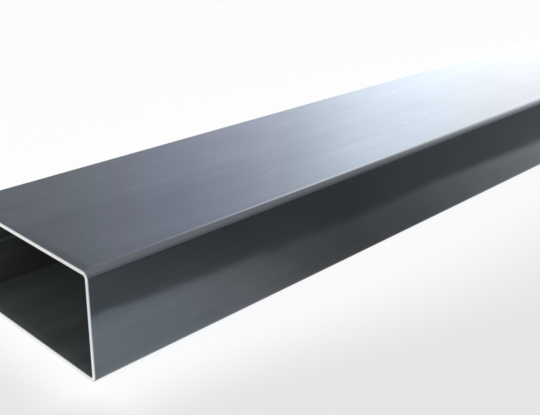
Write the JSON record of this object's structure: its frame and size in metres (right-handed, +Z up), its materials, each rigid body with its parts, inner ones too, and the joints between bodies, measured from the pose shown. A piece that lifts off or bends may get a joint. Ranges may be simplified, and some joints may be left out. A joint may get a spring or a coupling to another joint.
{
  "type": "rectangular steel tube",
  "caption": "Cold-formed rectangular steel tube with rounded corners and square-cut open ends, mill finish.",
  "frame": {"origin": "middle of the underside, the wide face that the tube lies on", "axes": "+X along the tube, +Y across its width towards the wall with the weld seam, +Z up"},
  "size_m": [2, 0.2, 0.1],
  "materials": {
    "mill_steel": "satin"
  },
  "bodies": {
    "root": {"tube": "mill_steel"}
  },
  "joints": []
}
